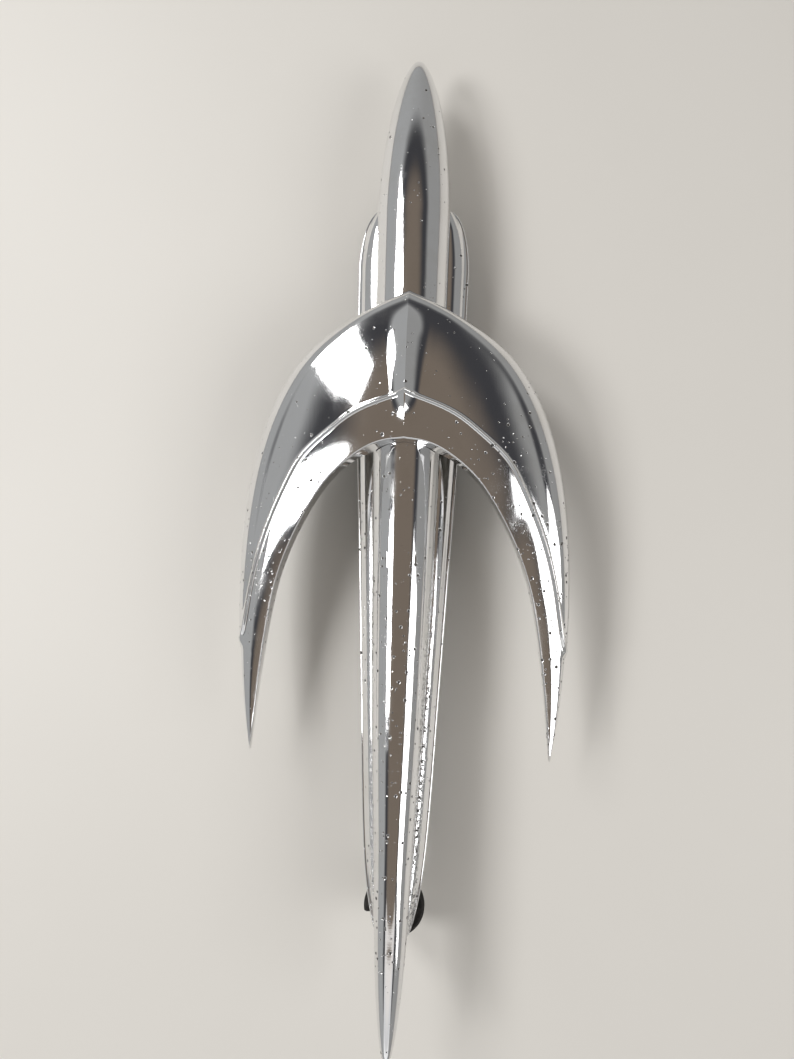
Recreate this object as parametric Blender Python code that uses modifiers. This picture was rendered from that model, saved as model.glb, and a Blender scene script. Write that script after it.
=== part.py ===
"""Chromed die-cast hood ornament: a hollow rocket-shaped body, a separate swept wing saddled over
its back, and the gasket, studs, washers, nuts and screws that hold them together and to a hood.

Metres, +Z up. The nose points to -Y and the tail to +Y. The origin is on the centre stud's axis,
in the plane of the hood: the gasket's underside is z = 0 and the mounting hardware hangs below.
"""

import math

import bmesh
import bpy
from mathutils import Vector

MM = 0.001
GAP = 0.3  # mm left between pieces that touch

# Body, in mm
NOSE_TIP_Y = -211.0
NOSE_BASE_Y = -140.0  # where the nose reaches its full section
TAIL_BASE_Y = 146.0  # where the body leaves the base and narrows to its tail point
TAIL_TIP_Y = 190.5
WALL = 2.6  # thickness of the body's casting
BODY_SIDES = 24  # corners of a section through the body
CORE_SIDES = 20
CORE_NOSE = 8.0  # solid metal at the nose's tip
CORE_REAR_Y = 126.0  # the tail is solid behind this
# Each station: y, half width, height of the widest line, top, bottom
BODY_STATIONS = (
    (-140, 15.0, 11.0, 26.3, 3.0),
    (-95, 14.6, 11.3, 27.0, 3.2),
    (-45, 13.6, 11.6, 26.8, 3.4),
    (15, 12.0, 11.8, 25.4, 3.6),
    (63, 10.3, 12.2, 23.8, 4.0),
    (110, 7.9, 13.2, 22.4, 5.5),
    (146, 6.3, 14.6, 21.6, 8.4),
)
TAIL_TAPER = 0.055  # half width lost per mm of tail, on top of the rounded point
TAIL_RISE = 0.05  # the tail's axis climbs this much per mm

# Base flange under the body, in mm: y and half width of its outline
BASE_STATIONS = (
    (-122, 23.2),
    (-80, 22.2),
    (-43, 20.7),
    (15, 17.8),
    (64, 15.4),
    (96, 13.8),
    (118, 12.2),
    (134, 10.0),
    (146, 7.0),
    (150, 4.6),
)
BASE_FRONT_Y = -149.5
BASE_FRONT_HALF = 14.2  # half width where the rounded ears spring from the nose
EAR_LENGTH = 27.5
LIP_HEIGHT = 2.6  # outer wall of the flange above its underside
GROOVE_HEIGHT = 6.9  # the flange's top beside the body, above its underside
RIM_WIDTH = 4.4  # seat face around the hollow underside
BASE_HOLLOW_REAR_Y = 128.0  # solid behind this, around the rear stud

# Gasket, in mm
GASKET_THICK = 1.6
GASKET_INSET = 0.8
GASKET_WIDTH = 4.0
BASE_Z = GASKET_THICK + GAP  # underside of the flange

# Wing, in mm: three rails from the centre line to one tip, matched station by station
WING_RIM = (
    (0, -108.6, 14),
    (14, -101.4, 13.5),
    (29.2, -93, 12.6),
    (43.2, -82, 11.6),
    (54.4, -64.4, 10.6),
    (62.2, -40, 9.3),
    (66, -14, 7.8),
    (67, 14, 6.2),
    (66.1, 39, 4.9),
    (64.2, 60, 4.0),
    (61.4, 77.4, 3.5),
)
WING_SHOULDER = (
    (0, -102.5, 30.5),
    (15, -96, 30.3),
    (27, -87.2, 29),
    (38.6, -74.4, 26.8),
    (47.6, -56, 24),
    (54.5, -34, 21),
    (59, -8, 17.2),
    (61.7, 17, 13),
    (62.4, 41, 9.4),
    (61.8, 61, 6.8),
    (60.5, 77.7, 4.9),
)
WING_TRAIL = (
    (0, -46, 34.5),
    (11, -44.3, 33.8),
    (21.5, -38.2, 31.4),
    (30.5, -30, 28.3),
    (38.5, -18, 24.8),
    (45, -5.5, 20.8),
    (50.5, 9.5, 17),
    (54, 27, 12.8),
    (56.7, 46, 9.2),
    (58.5, 63, 6.6),
    (59.6, 77.5, 4.7),
)
WING_WALL_DEPTH = (16, 14, 9.5, 9, 8.5, 8, 7.5, 6, 4.4, 2.9, 1.4)  # height of the trailing wall
WING_THICK = 2.4
WING_RIBS = 27  # sections along each half of the wing
WING_HOLLOW_ENDS = 0.8  # the blades are solid beyond this share of their rails
KEEL_RISE = 3.2  # how far the centre ridge stands above the wing's surface
KEEL_HALF = 9.0  # half width of the scoops beside the ridge
SADDLE_GAP = 0.35  # between the wing and the body

# Fasteners, in mm: 1/4 inch studs and number 10 screws
STUD_Y = {"front": -112.0, "centre": 0.0, "rear": 139.0}
STUD_R = 3.175
STUD_TOP = 15.0
STUD_END = {"front": -16.0, "centre": -19.0, "rear": -26.5}
BOSS_R = 6.0
BOSS_FOOT = 3.0
PANEL_SPACE = 2.5  # room left under the gasket for the hood's sheet metal
RUBBER_R = 12.3
RUBBER_THICK = {"front": 3.0, "centre": 3.0, "rear": 6.0}
TRIM_CUTTER = 10.0  # side of the block that trims one corner off the rear rubber washer
TRIM_X = 11.6
TRIM_PAST_STUD = 7.3
FLAT_R = 9.3
FLAT_THICK = 1.6
LOCK_R = 6.1
LOCK_THICK = 1.5
WASHER_HOLE_R = 3.55
NUT_ACROSS = 11.1
NUT_THICK = 5.6
NUT_BORE_R = 3.24  # 0.05 mm of running clearance over the stud, whose sides are flats
SCREW_Y = {"front": -82.0, "rear": -57.0}
SCREW_R = 2.4
SCREW_HEAD_R = 4.6
SCREW_HEAD = 2.8
SCREW_PAD_R = 6.0
SCREW_PAD_Z = 21.0  # underside of the pads inside the body that the screws pull on
SCREW_TIP_Z = 32.0
SCREW_WASHER_R = 4.3
SCREW_WASHER = 1.2


# ---------------------------------------------------------------- helpers


def rail(points, at):
    """The point at parameter at (0 to len - 1) of a smooth curve through all the points."""
    last = len(points) - 1
    i = min(int(at), last - 1)
    f = at - i
    p = [Vector(points[min(max(k, 0), last)]) for k in range(i - 1, i + 3)]
    if i == 0:
        p[0] = 2 * p[1] - p[2]
    if i == last - 1:
        p[3] = 2 * p[2] - p[1]
    a = 2 * p[1]
    b = p[2] - p[0]
    c = 2 * p[0] - 5 * p[1] + 4 * p[2] - p[3]
    d = 3 * p[1] - 3 * p[2] + p[3] - p[0]
    return 0.5 * (a + b * f + c * f**2 + d * f**3)


def along(stations, y):
    """The smooth values of a table of stations at length y, as a tuple without y."""
    ys = [row[0] for row in stations]
    y = min(max(y, ys[0]), ys[-1])
    i = max(k for k in range(len(ys) - 1) if ys[k] <= y)
    f = (y - ys[i]) / (ys[i + 1] - ys[i])
    values = []
    for column in range(1, len(stations[0])):
        v = [row[column] for row in stations]

        def slope(k):
            low, high = max(k - 1, 0), min(k + 1, len(ys) - 1)
            return (v[high] - v[low]) / (ys[high] - ys[low])

        h = ys[i + 1] - ys[i]
        m0, m1 = slope(i) * h, slope(i + 1) * h
        rise = v[i + 1] - v[i]
        values.append(v[i] + f * (m0 + f * (3 * rise - 2 * m0 - m1 + f * (m0 + m1 - 2 * rise))))
    return tuple(values)


def link(name, mesh, collection):
    obj = bpy.data.objects.new(name, mesh)
    collection.objects.link(obj)
    if collection is CUTTERS:
        obj.hide_render = True
        obj.display_type = "WIRE"
    return obj


def mesh_from(bm, name, bent=False):
    """The mesh of bm; bent faces are split into triangles, which a Boolean cuts exactly."""
    if bent:
        bmesh.ops.triangulate(bm, faces=bm.faces)
    bmesh.ops.recalc_face_normals(bm, faces=bm.faces)
    mesh = bpy.data.meshes.new(name)
    bm.to_mesh(mesh)
    bm.free()
    return mesh


def loft(name, rings, collection):
    """A closed solid through rings of points in mm, each with the same count. One point is a tip."""
    bm = bmesh.new()
    rows = [[bm.verts.new(Vector(p) * MM) for p in ring] for ring in rings]
    for a, b in zip(rows, rows[1:]):
        count = max(len(a), len(b))
        for i in range(count):
            j = (i + 1) % count
            if len(a) == 1:
                bm.faces.new((a[0], b[j], b[i]))
            elif len(b) == 1:
                bm.faces.new((a[i], a[j], b[0]))
            else:
                bm.faces.new((a[i], a[j], b[j], b[i]))
    for ring in (rows[0], rows[-1]):
        if len(ring) > 1:
            bm.faces.new(ring)
    return link(name, mesh_from(bm, name, bent=True), collection)


def rod(name, radius, low, high, y, collection, sides=32):
    """An upright cylinder between two heights, in mm."""
    bm = bmesh.new()
    bmesh.ops.create_cone(
        bm,
        cap_ends=True,
        segments=sides,
        radius1=radius * MM,
        radius2=radius * MM,
        depth=(high - low) * MM,
    )
    obj = link(name, mesh_from(bm, name), collection)
    obj.location = (0, y * MM, (low + high) / 2 * MM)
    obj.rotation_euler.z = math.pi / sides  # flats, not corners, on the plane of symmetry
    return obj


def boolean(obj, other, operation="DIFFERENCE"):
    mod = obj.modifiers.new(other.name, "BOOLEAN")
    mod.operation = operation
    mod.object = other
    mod.solver = "EXACT"


def weld(obj):
    """Closes up the slivers that a chain of Booleans leaves."""
    mod = obj.modifiers.new("weld", "WELD")
    mod.merge_threshold = 0.01 * MM


def finish(obj, material, angle=35.0):
    """Gives an object its material and smooth shading with sharp edges kept."""
    obj.data.materials.clear()
    obj.data.materials.append(material)
    if obj.type == "MESH":
        obj.data.shade_smooth()
        obj.data.set_sharp_from_angle(angle=math.radians(angle))


def metal(name, color, roughness, metallic=1.0):
    mat = bpy.data.materials.new(name)
    mat.use_nodes = True
    shader = mat.node_tree.nodes["Principled BSDF"]
    shader.inputs["Base Color"].default_value = (*color, 1.0)
    shader.inputs["Roughness"].default_value = roughness
    shader.inputs["Metallic"].default_value = metallic
    return mat


# ---------------------------------------------------------------- body casting


def body_section(y):
    """Half width, widest height, top and bottom of the rocket body at y."""
    w, mid, top, bottom = along(BODY_STATIONS, y)
    if y < NOSE_BASE_Y:
        t = (NOSE_BASE_Y - y) / (NOSE_BASE_Y - NOSE_TIP_Y)
        s = (1 - t**2) ** 0.6
    elif y > TAIL_BASE_Y:
        t = (y - TAIL_BASE_Y) / (TAIL_TIP_Y - TAIL_BASE_Y)
        s = (1 - t**2.7) ** 0.45
        past = y - TAIL_BASE_Y
        w -= TAIL_TAPER * past
        mid += TAIL_RISE * past
        top += (TAIL_RISE - TAIL_TAPER) * past
        bottom += (TAIL_RISE + TAIL_TAPER) * past
    else:
        s = 1.0
    return w * s, mid, mid + (top - mid) * s, mid - (mid - bottom) * s


def body_ring(y, inset, belly_inset, sides):
    """A closed ring around the rocket body: a round back over a squarer belly."""
    w, mid, top, bottom = body_section(y)
    w, up, down = w - inset, top - mid - inset, mid - bottom - belly_inset
    ring = []
    for i in range(sides):
        a = 2 * math.pi * i / sides
        c, s = math.cos(a), math.sin(a)
        power = 2 / 2.15 if s >= 0 else 2 / 2.6
        x = math.copysign(abs(c) ** power, c) * w
        z = math.copysign(abs(s) ** power, s) * (up if s >= 0 else down)
        ring.append((x, y, mid + z))
    return ring


def lengths(low, high, count, crowd_low, crowd_high):
    """Lengths from low to high, closer together towards an end that is rounded."""
    out = []
    for i in range(count + 1):
        f = i / count
        if crowd_low and crowd_high:
            f = (1 - math.cos(math.pi * f)) / 2
        elif crowd_low:
            f = 1 - math.cos(math.pi / 2 * f)
        elif crowd_high:
            f = math.sin(math.pi / 2 * f)
        out.append(low + (high - low) * f)
    return out


def rocket(name, inset, collection):
    """The whole rocket body as a solid, pointed at both ends; a negative inset swells it."""
    nose = lengths(NOSE_TIP_Y, NOSE_BASE_Y, 9, True, False)
    middle = lengths(NOSE_BASE_Y, TAIL_BASE_Y, 11, False, False)
    tail = lengths(TAIL_BASE_Y, TAIL_TIP_Y, 8, False, True)
    ys = nose[1:-1] + middle[:-1] + tail[:-1]
    rings = [body_ring(y, inset, inset, BODY_SIDES) for y in ys]
    tips = [[(0, y, body_section(y)[1])] for y in (NOSE_TIP_Y + inset, TAIL_TIP_Y - inset)]
    return loft(name, [tips[0], *rings, tips[1]], collection)


def rocket_core(collection):
    """What the casting's core leaves hollow: closed below in the nose, open above the base."""
    nose = lengths(NOSE_TIP_Y + CORE_NOSE, NOSE_BASE_Y, 6, True, False)
    middle = lengths(NOSE_BASE_Y, CORE_REAR_Y, 8, False, False)
    rings = []
    for y in nose + middle[1:]:
        belly = WALL if y < NOSE_BASE_Y else 0.0
        rings.append(body_ring(y, WALL, belly, CORE_SIDES))
    return loft("body_core", rings, collection)


def base_half(y):
    """Half width of the flange's outline at y."""
    (w,) = along(BASE_STATIONS, y)
    front = BASE_STATIONS[0][0]
    if y < front:
        t = min((front - y) / EAR_LENGTH, 1.0)
        w = BASE_FRONT_HALF + (w - BASE_FRONT_HALF) * math.sqrt(1 - t**2)
    return w


def base_lengths():
    front = BASE_STATIONS[0][0]
    ears = lengths(BASE_FRONT_Y, front, 8, True, False)
    return ears[:-1] + lengths(front, BASE_STATIONS[-1][0], 14, False, True)


def base_solid(collection):
    """The flange: a long pod with a lipped edge and a top that slopes up to the body."""
    rings = []
    for y in base_lengths():
        w = base_half(y)
        front_round = min((y - BASE_FRONT_Y) / 11.0, 1.0)
        rise = math.sqrt(1 - (1 - front_round) ** 2) * 0.62 + 0.38
        lip = BASE_Z + LIP_HEIGHT * rise
        groove = BASE_Z + GROOVE_HEIGHT * rise
        inner = min(body_section(y)[0], w - 0.8)
        half = (
            (w, y, BASE_Z),
            (w + 0.15, y, BASE_Z + 0.4 * (lip - BASE_Z)),
            (w - 0.35, y, lip),
            ((w + inner) / 2, y, (lip + groove) / 2 + 0.7),
            (inner * 0.9, y, groove),
        )
        rings.append([*half, *[(-x, yy, z) for x, yy, z in reversed(half)]])
    return loft("flange", rings, collection)


def base_hollow(collection):
    """The open underside of the flange, inside its rim, up into the body."""
    rings = []
    front = BASE_FRONT_Y + RIM_WIDTH + 0.5
    span = [y for y in base_lengths() if front < y < BASE_HOLLOW_REAR_Y]
    for y in span:
        w = max(base_half(y) - RIM_WIDTH, 1.5)
        top = BASE_Z + LIP_HEIGHT + 0.2
        half = ((w, y, -4.0), (w, y, top), (w - 1.6, y, top + 1.2))
        rings.append([*half, *[(-x, yy, z) for x, yy, z in reversed(half)]])
    return loft("flange_hollow", rings, collection)


def body_casting(chrome):
    """The hollow die casting: rocket body and flange in one, with bosses for the studs."""
    body = rocket("body_casting", 0.0, PARTS)
    boolean(body, base_solid(CUTTERS), "UNION")
    boolean(body, base_hollow(CUTTERS))
    boolean(body, rocket_core(CUTTERS))
    for place in ("front", "centre"):
        y = STUD_Y[place]
        top = body_section(y)[2] - 1.2
        boss = rod(f"{place}_stud_boss", BOSS_R, BOSS_FOOT, top, y, CUTTERS, 24)
        boolean(body, boss, "UNION")
    for place, y in SCREW_Y.items():
        top = body_section(y)[2] - 1.2
        pad = rod(f"{place}_screw_pad", SCREW_PAD_R, SCREW_PAD_Z, top, y, CUTTERS, 24)
        boolean(body, pad, "UNION")
    for place, y in STUD_Y.items():
        bore = rod(f"{place}_stud_bore", STUD_R + GAP, -4, STUD_TOP + GAP, y, CUTTERS, 24)
        boolean(body, bore)
    for place, y in SCREW_Y.items():
        hole = rod(f"{place}_body_hole", SCREW_R + GAP, 10, 40, y, CUTTERS, 24)
        boolean(body, hole)
    weld(body)
    finish(body, chrome)


# ---------------------------------------------------------------- wing casting


def keel(x, y, t):
    """Extra height of the sharp centre ridge and the fall of the scoops beside it."""
    fade = min(max((t - 0.06) / 0.2, 0.0), 1.0) * min(max((1 - t) / 0.35, 0.0), 1.0)
    near = max(1 - abs(x) / KEEL_HALF, 0.0)
    return KEEL_RISE * fade * near**2.2


def wing_section(at, inset=0.0, low=None):
    """One rib of the wing as a closed ring: up the leading bevel, over the top, down the wall."""
    rim, shoulder, trail = rail(WING_RIM, at), rail(WING_SHOULDER, at), rail(WING_TRAIL, at)
    depth = rail([(d, 0, 0) for d in WING_WALL_DEPTH], at).x
    across = Vector((trail.x - rim.x, trail.y - rim.y, 0)).normalized()
    rim = rim + across * inset
    shoulder = shoulder + across * inset * 0.6 - Vector((0, 0, inset))
    trail = trail - across * inset - Vector((0, 0, inset))
    ring = [rim if low is None else Vector((rim.x, rim.y, low))]
    if low is not None:
        ring.append(rim.copy())
    bevel = 5
    for i in range(1, bevel):
        a = math.pi / 2 * i / bevel
        flat = rim.lerp(shoulder, 1 - math.cos(a))
        z = rim.z + (shoulder.z - rim.z) * math.sin(a)
        ring.append(Vector((flat.x, flat.y, z)))
    top = 8
    crown = 1.6 * (1 - at / (len(WING_RIM) - 1)) + 0.3
    for i in range(top + 1):
        t = i / top
        p = shoulder.lerp(trail, t)
        p.z += crown * 4 * t * (1 - t) + keel(p.x, p.y, t)
        ring.append(p)
    foot = trail + across * 0.04 * depth
    foot.z = trail.z - depth + inset if low is None else low
    ring.append(foot)
    return ring


def wing_solid(name, inset, last, low, collection):
    """One half of the wing from the centre line outwards, as a closed solid."""
    rings = []
    for i in range(WING_RIBS + 1):
        at = last * i / WING_RIBS
        ring = wing_section(at, inset, low)
        if i == 0:
            for p in ring:
                p.x = 0.0
        rings.append(ring)
    bm = bmesh.new()
    rows = [[bm.verts.new(p * MM) for p in ring] for ring in rings]
    for a, b in zip(rows, rows[1:]):
        for k in range(len(a)):
            j = (k + 1) % len(a)
            bm.faces.new((a[k], b[k], b[j], a[j]))
    bm.faces.new(rows[-1])
    obj = link(name, mesh_from(bm, name, bent=True), collection)
    mirror = obj.modifiers.new("other_half", "MIRROR")
    mirror.use_axis = (True, False, False)
    mirror.merge_threshold = 0.0001
    mirror.use_clip = True
    return obj


def wing_casting(chrome):
    """The swept wing: a hollow saddle over the body, two screw bosses under its centre."""
    last = len(WING_RIM) - 1
    wing = wing_solid("wing_casting", 0.0, last, None, PARTS)
    core = wing_solid("wing_core", WING_THICK, last * WING_HOLLOW_ENDS, -2.0, CUTTERS)
    boolean(wing, core)
    for place, y in SCREW_Y.items():
        boss = rod(f"{place}_wing_boss", SCREW_PAD_R, 20, SCREW_TIP_Z + 1.4, y, CUTTERS, 24)
        boolean(wing, boss, "UNION")
    boolean(wing, rocket("saddle_cut", -SADDLE_GAP, CUTTERS))
    for place, y in SCREW_Y.items():
        hole = rod(f"{place}_wing_hole", SCREW_R + GAP, 20, SCREW_TIP_Z + GAP, y, CUTTERS, 24)
        boolean(wing, hole)
    weld(wing)
    finish(wing, chrome)


# ---------------------------------------------------------------- gasket and hardware


def outline(inset):
    """The flange's outline pulled in by inset, as points around it."""
    side = []
    for y in base_lengths():
        w = base_half(y)
        before, after = base_half(y - 0.5), base_half(y + 0.5)
        slope = after - before
        length = math.hypot(1, slope)
        side.append((w - inset / length, y + inset * slope / length))
    front, rear = BASE_FRONT_Y + inset, BASE_STATIONS[-1][0] - inset
    side = [p for p in side if front < p[1] < rear and p[0] > 1.0]
    ends = [(side[0][0] - 1.0, front)], [(side[-1][0] - 0.6, rear)]
    half = [*ends[0], *side, *ends[1]]
    return half + [(-x, y) for x, y in reversed(half)]


def base_gasket(rubber):
    """Flat rubber ring between the flange's rim and the hood."""
    curve = bpy.data.curves.new("base_gasket", "CURVE")
    curve.dimensions = "2D"
    curve.fill_mode = "BOTH"
    curve.extrude = GASKET_THICK / 2 * MM
    for inset in (GASKET_INSET, GASKET_INSET + GASKET_WIDTH):
        points = outline(inset)
        spline = curve.splines.new("POLY")
        spline.points.add(len(points) - 1)
        for point, (x, y) in zip(spline.points, points):
            point.co = (x * MM, y * MM, 0, 1)
        spline.use_cyclic_u = True
    gasket = bpy.data.objects.new("base_gasket", curve)
    gasket.location.z = GASKET_THICK / 2 * MM
    PARTS.objects.link(gasket)
    finish(gasket, rubber)


def turned(name, profile, y, sides=32):
    """A ring turned about an upright axis at y, from a closed profile of (radius, z) in mm."""
    bm = bmesh.new()
    verts = [bm.verts.new((r * MM, 0, z * MM)) for r, z in profile]
    for a, b in zip(verts, [*verts[1:], verts[0]]):
        bm.edges.new((a, b))
    mesh = bpy.data.meshes.new(name)
    bm.to_mesh(mesh)
    bm.free()
    obj = link(name, mesh, PARTS)
    obj.location.y = y * MM
    screw = obj.modifiers.new("turn", "SCREW")
    screw.axis = "Z"
    screw.steps = sides
    screw.render_steps = sides
    screw.use_merge_vertices = True
    screw.merge_threshold = 0.0001
    screw.use_normal_calculate = True
    return obj


def washer_profile(inner, outer, low, high, edge=0.2):
    """Down the outer side, across, and back up the bore."""
    return (
        (outer - edge, high),
        (outer, high - edge),
        (outer, low + edge),
        (outer - edge, low),
        (inner, low),
        (inner, high),
    )


def stud(place, y, steel):
    """Threaded stud, here at its outside diameter, with chamfered ends."""
    obj = rod(f"{place}_stud", STUD_R, STUD_END[place], STUD_TOP, y, PARTS)
    bevel = obj.modifiers.new("chamfer", "BEVEL")
    bevel.width = 0.7 * MM
    bevel.segments = 1
    bevel.limit_method = "ANGLE"
    bevel.angle_limit = math.radians(60)
    finish(obj, steel)


def rubber_washer(place, y, rubber):
    """Moulded rubber washer with bevelled edges and a groove around its rim."""
    high = -PANEL_SPACE
    thick = RUBBER_THICK[place]
    low = high - thick
    profile = (
        (RUBBER_R - 0.6, high),
        (RUBBER_R, high - 0.23 * thick),
        (RUBBER_R - 0.5, high - 0.35 * thick),
        (RUBBER_R, high - 0.47 * thick),
        (RUBBER_R - 0.6, low),
        (WASHER_HOLE_R, low),
        (WASHER_HOLE_R, high),
    )
    obj = turned(f"{place}_rubber_washer", profile, y, 32)
    if place == "rear":
        bm = bmesh.new()
        bmesh.ops.create_cube(bm, size=TRIM_CUTTER * MM)
        cutter = link("washer_trim", mesh_from(bm, "washer_trim"), CUTTERS)
        cutter.location = (TRIM_X * MM, (y + TRIM_PAST_STUD) * MM, (high + low) / 2 * MM)
        boolean(obj, cutter)
    finish(obj, rubber)
    return low


def nut(place, y, high, steel):
    """Hexagon nut with its origin on the stud's axis, about which it turns."""
    bm = bmesh.new()
    bmesh.ops.create_cone(
        bm,
        cap_ends=True,
        segments=6,
        radius1=NUT_ACROSS / math.sqrt(3) * MM,
        radius2=NUT_ACROSS / math.sqrt(3) * MM,
        depth=NUT_THICK * MM,
    )
    obj = link(f"{place}_nut", mesh_from(bm, f"{place}_nut"), PARTS)
    obj.location = (0, y * MM, (high - NUT_THICK / 2) * MM)
    bore = rod(f"{place}_nut_bore", NUT_BORE_R, high - NUT_THICK - 1, high + 1, y, CUTTERS, 32)
    boolean(obj, bore)
    finish(obj, steel)


def stud_hardware(place, y, steel, rubber):
    """Everything threaded on one stud below the hood, from the rubber washer to the nut."""
    stud(place, y, steel)
    top = rubber_washer(place, y, rubber) - GAP
    flat = washer_profile(WASHER_HOLE_R, FLAT_R, top - FLAT_THICK, top)
    finish(turned(f"{place}_flat_washer", flat, y), steel)
    top -= FLAT_THICK + GAP
    lock = washer_profile(WASHER_HOLE_R, LOCK_R, top - LOCK_THICK, top)
    finish(turned(f"{place}_lock_washer", lock, y), steel)
    top -= LOCK_THICK + GAP
    nut(place, y, top, steel)


def wing_screw(place, y, steel):
    """Pan-head screw from inside the body up into the wing, and its lock washer."""
    washer_low = SCREW_PAD_Z - GAP - SCREW_WASHER
    ring = washer_profile(SCREW_R + GAP, SCREW_WASHER_R, washer_low, SCREW_PAD_Z - GAP)
    finish(turned(f"{place}_screw_washer", ring, y, 24), steel)
    head_top = washer_low - GAP
    head_low = head_top - SCREW_HEAD
    profile = (
        (0, SCREW_TIP_Z),
        (SCREW_R - 0.6, SCREW_TIP_Z),
        (SCREW_R, SCREW_TIP_Z - 0.8),
        (SCREW_R, head_top),
        (SCREW_HEAD_R, head_top),
        (SCREW_HEAD_R, head_low + 1.4),
        (SCREW_HEAD_R - 1.2, head_low + 0.2),
        (0, head_low),
    )
    obj = turned(f"{place}_wing_screw", profile, y, 24)
    bm = bmesh.new()
    bmesh.ops.create_cube(bm, size=1.0)
    bmesh.ops.scale(bm, vec=(12 * MM, 1.3 * MM, 2.6 * MM), verts=bm.verts)
    slot = link(f"{place}_screw_slot", mesh_from(bm, f"{place}_screw_slot"), CUTTERS)
    slot.location = (0, y * MM, head_low * MM)
    boolean(obj, slot)
    finish(obj, steel)


def start():
    """An empty scene with one collection for the parts and one for the cutters."""
    for obj in list(bpy.data.objects):
        bpy.data.objects.remove(obj, do_unlink=True)
    made = []
    for name in ("hood_ornament", "cutters"):
        collection = bpy.data.collections.new(name)
        bpy.context.scene.collection.children.link(collection)
        made.append(collection)
    return made


PARTS, CUTTERS = start()


def main():
    chrome = metal("chrome", (0.72, 0.72, 0.73), 0.08)
    steel = metal("zinc_plated_steel", (0.55, 0.54, 0.5), 0.35)
    rubber = metal("black_rubber", (0.025, 0.023, 0.022), 0.75, 0.0)
    body_casting(chrome)
    wing_casting(chrome)
    base_gasket(rubber)
    for place, y in STUD_Y.items():
        stud_hardware(place, y, steel, rubber)
    for place, y in SCREW_Y.items():
        wing_screw(place, y, steel)


main()
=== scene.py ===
import math

import bmesh
import bpy
import numpy as np
from mathutils import Matrix, Vector


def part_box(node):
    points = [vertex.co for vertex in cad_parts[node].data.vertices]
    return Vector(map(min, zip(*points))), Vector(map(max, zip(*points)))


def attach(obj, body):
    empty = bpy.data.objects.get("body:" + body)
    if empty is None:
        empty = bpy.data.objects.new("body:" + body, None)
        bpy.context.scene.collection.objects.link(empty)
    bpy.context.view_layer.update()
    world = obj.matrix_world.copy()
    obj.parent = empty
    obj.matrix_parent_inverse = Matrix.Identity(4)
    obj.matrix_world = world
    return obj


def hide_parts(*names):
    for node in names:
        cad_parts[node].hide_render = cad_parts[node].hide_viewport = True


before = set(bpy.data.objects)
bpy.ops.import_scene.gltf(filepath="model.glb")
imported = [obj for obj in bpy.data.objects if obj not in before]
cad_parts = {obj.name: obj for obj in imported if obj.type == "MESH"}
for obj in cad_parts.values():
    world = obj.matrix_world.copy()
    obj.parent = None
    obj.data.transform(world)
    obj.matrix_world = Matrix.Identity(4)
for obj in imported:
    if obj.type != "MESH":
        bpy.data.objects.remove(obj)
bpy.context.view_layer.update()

MM = 0.001
DETAIL = 1.0

# ---------------------------------------------------------------- sizes, in mm, the same as the CAD's

NOSE_TIP_Y = -211.0
NOSE_BASE_Y = -140.0
TAIL_BASE_Y = 146.0
TAIL_TIP_Y = 190.5
WALL = 2.6
CORE_NOSE = 8.0  # solid metal at the nose's tip
CORE_REAR_Y = 126.0  # the tail is solid behind this
NOSE_ROUND = (2, 0.6)  # powers of the nose's rounded point
TAIL_ROUND = (2.7, 0.45)
BACK_POWER = 2.15  # the body's section is round on its back
BELLY_POWER = 2.6  # and squarer on its belly
# y, half width, height of the widest line, top, bottom
BODY_STATIONS = (
    (-140, 15.0, 11.0, 26.3, 3.0),
    (-95, 14.6, 11.3, 27.0, 3.2),
    (-45, 13.6, 11.6, 26.8, 3.4),
    (15, 12.0, 11.8, 25.4, 3.6),
    (63, 10.3, 12.2, 23.8, 4.0),
    (110, 7.9, 13.2, 22.4, 5.5),
    (146, 6.3, 14.6, 21.6, 8.4),
)
TAIL_TAPER = 0.055  # half width lost per mm of tail, on top of the rounded point
TAIL_RISE = 0.05  # the tail's axis climbs this much per mm
# y, half width of the flange
BASE_STATIONS = (
    (-122, 23.2),
    (-80, 22.2),
    (-43, 20.7),
    (15, 17.8),
    (64, 15.4),
    (96, 13.8),
    (118, 12.2),
    (134, 10.0),
    (146, 7.0),
    (150, 4.6),
)
BASE_FRONT_Y = -149.5
BASE_FRONT_HALF = 14.2
EAR_LENGTH = 27.5
LIP_HEIGHT = 2.6
GROOVE_HEIGHT = 6.9  # the flange's top beside the body, above its underside
RIM_WIDTH = 4.4
BASE_HOLLOW_REAR_Y = 128.0
BASE_Z = 1.9  # underside of the flange
FRONT_ROUND = 11.0  # length over which the flange's front end comes up to its full height
FRONT_SHARE = 0.38  # share of that height at the very front
INTO_ROOF = 1.2  # how far bosses and pads reach into the metal above them
CUT_BELOW = -4.0  # cutters from below start here
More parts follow.
